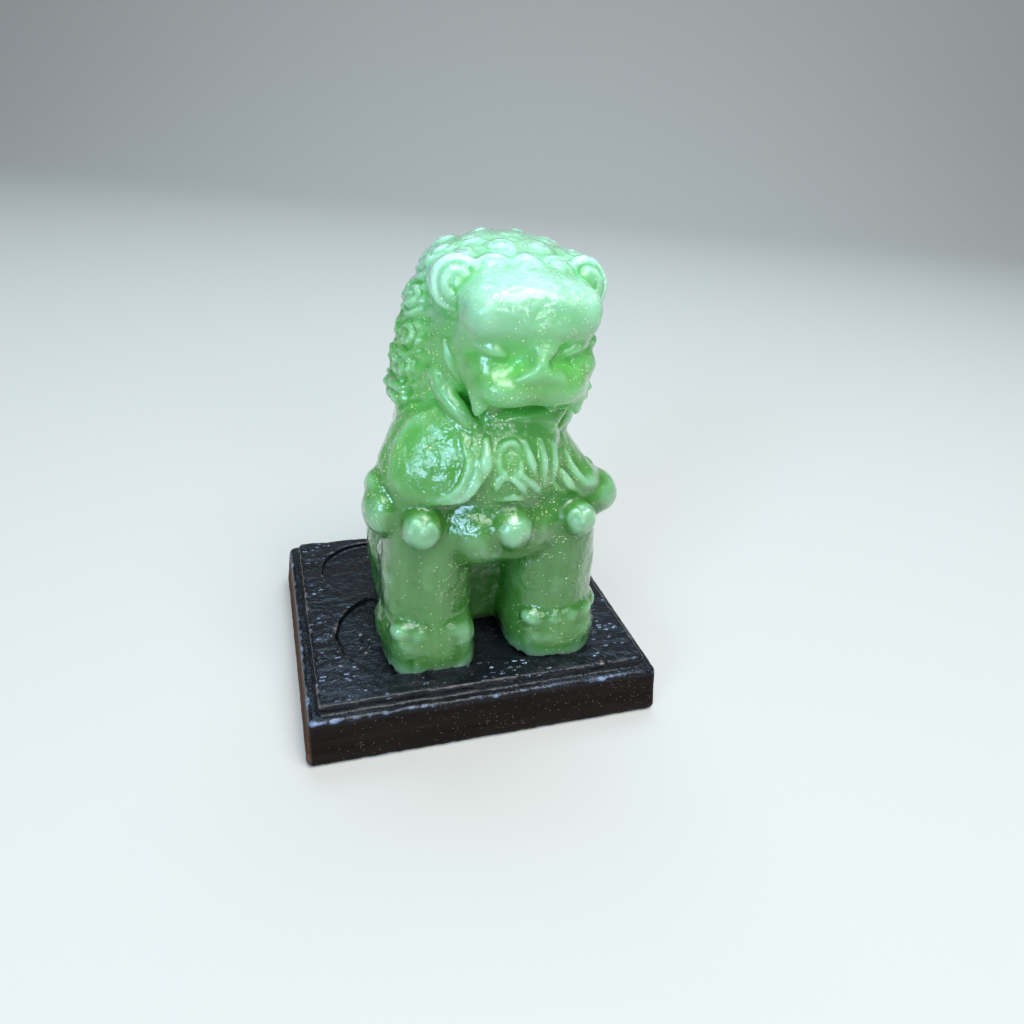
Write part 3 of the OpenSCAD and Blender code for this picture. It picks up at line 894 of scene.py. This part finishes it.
def black_paint():
    """Gloss black paint, thick and brushed on top, thin and brownish on the sides and edges, with
    painted light: glints on the top, a highlight along the ledge's edge and a reflection of the
    wooden table on the left side.
    """
    m = Recipe("black_painted_wood")
    axes = m.node("ShaderNodeSeparateXYZ", {"Vector": m.place})
    height = axes.outputs["Z"]
    on_side = m.band(height, (LEDGE_H - 0.3) * MM, (LEDGE_H - 1.6) * MM)
    streaks = m.noise(60, 4, 0.6, (0.5, 0.5, 5))
    black = m.mix(m.band(m.noise(120, 3), 0.35, 0.7), (0.003, 0.0035, 0.005, 1),
                  (0.010, 0.011, 0.016, 1))
    brown = m.mix(m.band(streaks, 0.3, 0.7), (0.004, 0.0025, 0.002, 1), (0.015, 0.009, 0.007, 1))
    # The left side is painted with a blurred brown reflection of the wooden table
    left = m.band(axes.outputs["X"], (-BOARD_W / 2 + 1.6) * MM, (-BOARD_W / 2 + 0.9) * MM)
    table_reflection = m.mix(m.band(streaks, 0.3, 0.7), (0.085, 0.041, 0.027, 1), (0.155, 0.084, 0.056, 1))
    brown = m.mix(left, brown, table_reflection)
    colour = m.mix(on_side, black, brown)
    # Edges: the raised top's edge worn through to pale bare timber, and a broken blue-white
    # painted highlight along the ledge's edge
    raised = m.band(height, (LEDGE_H + 0.8) * MM, (LEDGE_H + 1.6) * MM)
    edge = m.mark("edge")
    ledge_highlight = m.band(m.math("SUBTRACT", edge, raised), 0.11, 0.20)
    near_ledge = m.band(height, (LEDGE_H - 1.3) * MM, (LEDGE_H - 0.7) * MM)
    ledge_highlight = m.times(ledge_highlight, near_ledge)
    sharp = m.math("MAXIMUM", m.band(edge, 0.15, 0.32), ledge_highlight)
    broken = m.times(m.band(m.noise(85, 2, 0.6), 0.38, 0.48),
                     m.band(m.noise(800, 3, 0.7), 0.38, 0.54))
    worn_edge_and_highlight = m.mix(raised, (0.42, 0.52, 0.80, 1), (0.32, 0.25, 0.23, 1))
    colour = m.mix(m.times(sharp, broken, 0.8), colour, worn_edge_and_highlight)
    dust, dust_tint = m.flakes(1900, 0.24, m.band(m.noise(200, 2), 0.4, 0.65, 0.06, 0.4))
    dust_colour = m.mix(dust_tint, (0.20, 0.11, 0.06, 1), (0.40, 0.38, 0.36, 1))
    colour = m.mix(m.times(dust, m.band(on_side, 0, 1, 0.12, 0.5)), colour, dust_colour)
    # Blobs in the paint, in drifts, with painted blue-white glints on them
    drifts = m.band(m.noise(85, 2, 0.6, (0.7, 1, 1)), 0.50, 0.60, 0.0, 0.75)
    glint, glint_tint = m.flakes(1100, 0.36, drifts, (0.45, 1, 1))
    glint_colour = m.mix(glint_tint, (0.10, 0.14, 0.24, 1), (0.55, 0.66, 0.92, 1))
    off_side = m.band(on_side, 1, 0, 0.0, 0.85)
    glint = m.times(glint, m.band(m.noise(2200, 2), 0.42, 0.58))
    off_floor = m.band(height, (POCKET_FLOOR + 0.3) * MM, (POCKET_FLOOR + 0.7) * MM, 0.12, 1.0)
    colour = m.mix(m.times(glint, off_side, off_floor), colour, glint_colour)
    m.link(colour, "Base Color")
    rough = m.band(m.noise(240, 4, 0.6), 0.3, 0.7, 0.10, 0.26)
    m.link(m.band(on_side, 0.0, 1.0, rough, 0.55), "Roughness")
    shine = m.band(on_side, 0, 1, 0.32, 0.08)
    # No sheen on the left side, where the reflection is painted
    table_reflection_mask = m.times(left, on_side)
    m.link(m.times(shine, m.band(table_reflection_mask, 1, 0)), "Specular IOR Level")
    m.shader.inputs["IOR"].default_value = 1.5
    grain = m.bump(m.noise(1300, 3, 0.6), 0.40, 0.0004)
    brushed = m.bump(m.noise(90, 4, 0.6, (0.7, 4, 1)), 0.30, 0.0007, grain)
    brushed = m.bump(m.noise(330, 3, 0.55), 0.45, 0.0008, brushed)
    m.link(m.bump(glint, 0.7, 0.0005, brushed), "Normal")
    return m.material


def clear_glue():
    """Set glue, slightly yellow, with small bubbles."""
    m = Recipe("clear_glue")
    cloud = m.band(m.noise(500, 3), 0.35, 0.7)
    m.link(m.mix(cloud, (0.55, 0.56, 0.42, 1), (0.78, 0.79, 0.66, 1)), "Base Color")
    m.link(m.band(m.noise(700, 2), 0.3, 0.7, 0.12, 0.3), "Roughness")
    m.shader.inputs["Subsurface Weight"].default_value = 0.6
    m.shader.inputs["Subsurface Scale"].default_value = 0.001
    m.link(m.bump(m.noise(1200, 2), 0.3, 0.0002), "Normal")
    return m.material


# ---------------------------------------------------------------- glue

def make_glue(node, seed):
    """An uneven squeezed-out pat of glue in the place of the CAD disc."""
    low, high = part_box(node)
    centre = (low + high) / 2
    radius = (high.x - low.x) / 2 / MM
    thick = (high.z - low.z) / MM
    clay = Clay((-radius - 1, -radius - 1, -1), (radius + 1, radius + 1, 1.5), GLUE_VOXEL)
    x, y, z = clay.grid()
    rim = np.hypot(x, y) - radius + 0.5 + 0.35 * lumps(clay, 3.0, seed)
    body = soft_max(rim, np.abs(z - thick / 2) - thick / 2, 0.25)
    clay.field = body.astype(np.float32)
    return piece_from_clay(node.replace("glue", "glue_pat"), clay, (centre.x, centre.y, low.z), {})


# ---------------------------------------------------------------- camera and light

CAMERA_PLACE = (-0.0402, -0.1446, 0.1225)
CAMERA_TURN = 19.81    # degrees from straight on, towards +x
CAMERA_DIP = 29.48     # degrees down
CAMERA_ROLL = 5.16     # degrees
CAMERA_LENS = 26.72    # mm on a 36 mm wide sensor


def make_camera():
    data = bpy.data.cameras.new("camera")
    data.sensor_width = 36
    data.lens = CAMERA_LENS
    data.clip_start = 0.01
    camera = bpy.data.objects.new("camera", data)
    bpy.context.scene.collection.objects.link(camera)
    turn, dip, roll = (math.radians(a) for a in (CAMERA_TURN, CAMERA_DIP, CAMERA_ROLL))
    level = math.cos(dip)
    ahead = Vector((math.sin(turn) * level, math.cos(turn) * level, -math.sin(dip)))
    right = Vector((math.cos(turn), -math.sin(turn), 0))
    up = right.cross(ahead)
    tipped_right = right * math.cos(roll) + up * math.sin(roll)
    tipped_up = up * math.cos(roll) - right * math.sin(roll)
    axes = Matrix((tipped_right, tipped_up, -ahead)).transposed().to_4x4()
    camera.matrix_world = Matrix.Translation(CAMERA_PLACE) @ axes
    bpy.context.scene.camera = camera


def soft_light(name, place, size, power, colour, aim=(0, 0, 0.05)):
    data = bpy.data.lights.new(name, "AREA")
    data.shape = "RECTANGLE"
    data.size, data.size_y = size
    data.energy = power
    data.color = colour
    light = bpy.data.objects.new(name, data)
    light.location = place
    light.rotation_euler = (Vector(aim) - Vector(place)).to_track_quat("-Z", "Y").to_euler()
    bpy.context.scene.collection.objects.link(light)


def make_lights():
    world = bpy.data.worlds.new("studio")
    bpy.context.scene.world = world
    world.use_nodes = True
    background = world.node_tree.nodes["Background"]
    background.inputs["Color"].default_value = (0.8, 0.88, 1.0, 1)
    background.inputs["Strength"].default_value = 0.15
    soft_light("overhead", (0.06, -0.34, 0.86), (0.86, 0.56), 9.4, (0.92, 0.98, 1.0))
    soft_light("sky_low", (0.16, -0.86, 0.50), (0.40, 0.09), 1.5, (0.86, 0.95, 1.0))
    soft_light("sky_gap", (0.12, -0.1, 0.8), (0.12, 0.1), 0.7, (1.0, 0.98, 0.94))
    soft_light("sky_back", (0.14, 0.40, 0.86), (0.8, 0.4), 4.6, (0.52, 0.78, 1.0))
    soft_light("window_left", (-0.72, -0.66, 0.40), (0.34, 0.32), 5.6, (0.46, 0.72, 1.0))


def make_floor():
    """A pale floor that sweeps up into a wall behind the object, square to the camera."""
    flat, bend, height, half_wide, steps = 0.7, 0.5, 1.2, 3.0, 12
    profile = [(-1.2, 0.0), (flat, 0.0)]
    for i in range(1, steps + 1):
        angle = math.pi / 2 * i / steps
        profile.append((flat + bend * math.sin(angle), bend * (1 - math.cos(angle))))
    profile.append((flat + bend, height))
    points = [(side * half_wide, y, z) for y, z in profile for side in (LEFT, RIGHT)]
    faces = [(2 * i, 2 * i + 1, 2 * i + 3, 2 * i + 2) for i in range(len(profile) - 1)]
    mesh = bpy.data.meshes.new("floor")
    mesh.from_pydata(points, [], faces)
    mesh.polygons.foreach_set("use_smooth", np.ones(len(faces), bool))
    floor = bpy.data.objects.new("floor", mesh)
    floor.rotation_euler.z = -math.radians(CAMERA_TURN)
    bpy.context.scene.collection.objects.link(floor)
    material = bpy.data.materials.new("floor")
    material.use_nodes = True
    shader = material.node_tree.nodes["Principled BSDF"]
    shader.inputs["Base Color"].default_value = (0.58, 0.545, 0.50, 1)
    shader.inputs["Roughness"].default_value = 0.8
    mesh.materials.append(material)


make_camera()
make_lights()
make_floor()
bpy.context.scene.view_settings.view_transform = "Standard"

lion = make_lion()
lion.data.materials.append(jade_resin())
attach(lion, "root")
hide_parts("lion_casting")

board = make_board()
board.data.materials.append(black_paint())
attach(board, "root")
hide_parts("base_board")

glue_material = clear_glue()
for seed, node in enumerate(("glue_left_paw", "glue_right_paw", "glue_seat")):
    pat = make_glue(node, 40 + seed)
    pat.data.materials.append(glue_material)
    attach(pat, "root")
    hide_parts(node)
